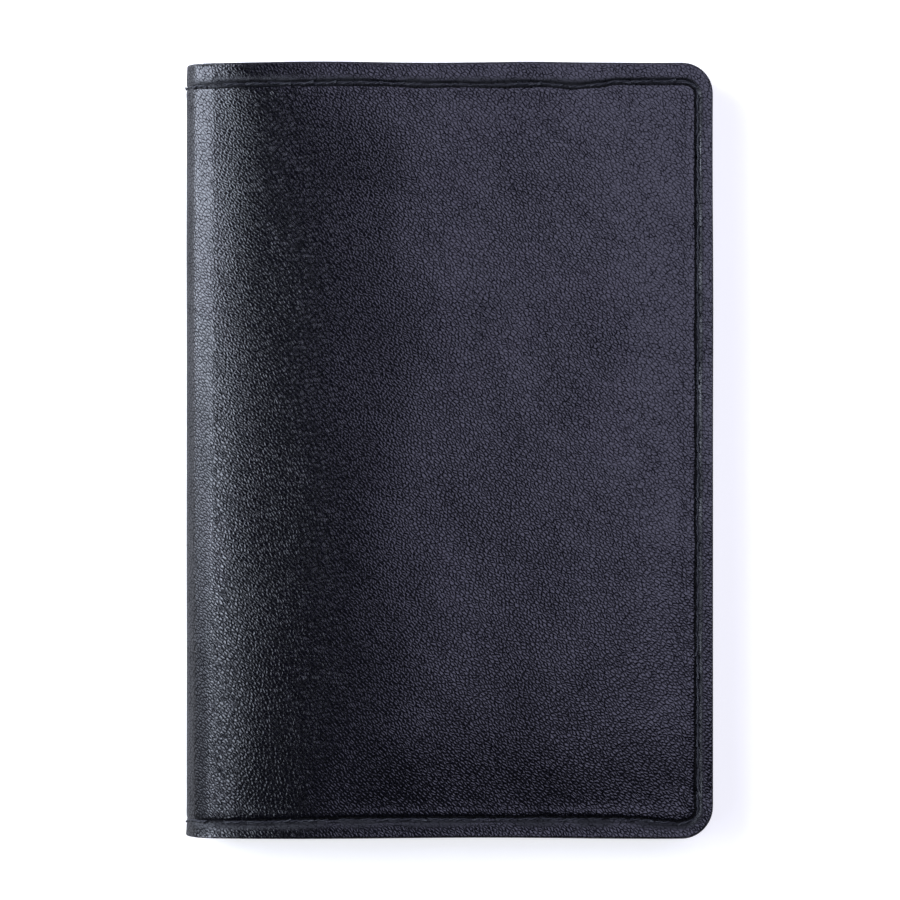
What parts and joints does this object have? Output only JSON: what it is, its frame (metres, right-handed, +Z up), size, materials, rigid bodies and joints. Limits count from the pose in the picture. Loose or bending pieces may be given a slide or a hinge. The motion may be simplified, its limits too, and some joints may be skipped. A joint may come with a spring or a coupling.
{
  "type": "credit card case",
  "caption": "Closed bifold leather card case with a sewn edge seam, a soft spine that unrolls, inner pockets and an insert of clear sleeve pages for cards.",
  "frame": {"origin": "on the table, under the middle of the closed case", "axes": "+X from the spine to the open edge, +Y along the spine, +Z up out of the front cover"},
  "size_m": [0.075, 0.11, 0.0102],
  "materials": {
    "leather": "fine pebble grain, black with a navy cast, half gloss",
    "pocket_leather": "thin smooth black leather, nearly matte",
    "lining": "black woven cloth bonded to the leather",
    "thread": "black twisted thread, sunk in the seam's groove",
    "clear_film": "clear soft vinyl film"
  },
  "bodies": {
    "back": {"back_cover": "leather", "back_lining": "lining", "back_pocket": "pocket_leather", "back_thread": "thread", "insert_back_tab": "clear_film"},
    "spine_1": {"spine_leather_1": "leather", "spine_lining_1": "lining", "spine_thread_top_1": "thread", "spine_thread_bottom_1": "thread", "insert_weld_1": "clear_film", "page_1_back_film": "clear_film", "page_1_front_film": "clear_film"},
    "spine_2": {"spine_leather_2": "leather", "spine_lining_2": "lining", "spine_thread_top_2": "thread", "spine_thread_bottom_2": "thread", "insert_weld_2": "clear_film", "page_2_back_film": "clear_film", "page_2_front_film": "clear_film"},
    "spine_3": {"spine_leather_3": "leather", "spine_lining_3": "lining", "spine_thread_top_3": "thread", "spine_thread_bottom_3": "thread", "insert_weld_3": "clear_film", "page_3_back_film": "clear_film", "page_3_front_film": "clear_film"},
    "spine_4": {"spine_leather_4": "leather", "spine_lining_4": "lining", "spine_thread_top_4": "thread", "spine_thread_bottom_4": "thread", "insert_weld_4": "clear_film", "page_4_back_film": "clear_film", "page_4_front_film": "clear_film"},
    "spine_5": {"spine_leather_5": "leather", "spine_lining_5": "lining", "spine_thread_top_5": "thread", "spine_thread_bottom_5": "thread", "insert_weld_5": "clear_film", "page_5_back_film": "clear_film", "page_5_front_film": "clear_film"},
    "front": {"front_cover": "leather", "front_lining": "lining", "front_pocket": "pocket_leather", "front_thread": "thread", "insert_front_tab": "clear_film"}
  },
  "joints": [
    {"name": "cover_fold", "type": "hinge", "parent": "back", "child": "spine_1", "pos_m": [-0.03385, 0, 0.00044], "axis": [0, -1, 0], "range_deg": [0, 29]},
    {"name": "spine_fold_2", "type": "hinge", "parent": "spine_1", "child": "spine_2", "pos_m": [-0.03581, 0, 0.00153], "axis": [0, -1, 0], "range_deg": [0, 29]},
    {"name": "spine_fold_3", "type": "hinge", "parent": "spine_2", "child": "spine_3", "pos_m": [-0.03699, 0, 0.00343], "axis": [0, -1, 0], "range_deg": [0, 29]},
    {"name": "spine_fold_4", "type": "hinge", "parent": "spine_3", "child": "spine_4", "pos_m": [-0.03711, 0, 0.00567], "axis": [0, -1, 0], "range_deg": [0, 29]},
    {"name": "spine_fold_5", "type": "hinge", "parent": "spine_4", "child": "spine_5", "pos_m": [-0.03613, 0, 0.00768], "axis": [0, -1, 0], "range_deg": [0, 29]},
    {"name": "spine_fold_6", "type": "hinge", "parent": "spine_5", "child": "front", "pos_m": [-0.03429, 0, 0.00897], "axis": [0, -1, 0], "range_deg": [0, 29]}
  ],
  "couplings": [
    {"joint": "spine_fold_2", "follows": "cover_fold", "ratio": 1},
    {"joint": "spine_fold_3", "follows": "cover_fold", "ratio": 1},
    {"joint": "spine_fold_4", "follows": "cover_fold", "ratio": 1},
    {"joint": "spine_fold_5", "follows": "cover_fold", "ratio": 1},
    {"joint": "spine_fold_6", "follows": "cover_fold", "ratio": 1}
  ]
}
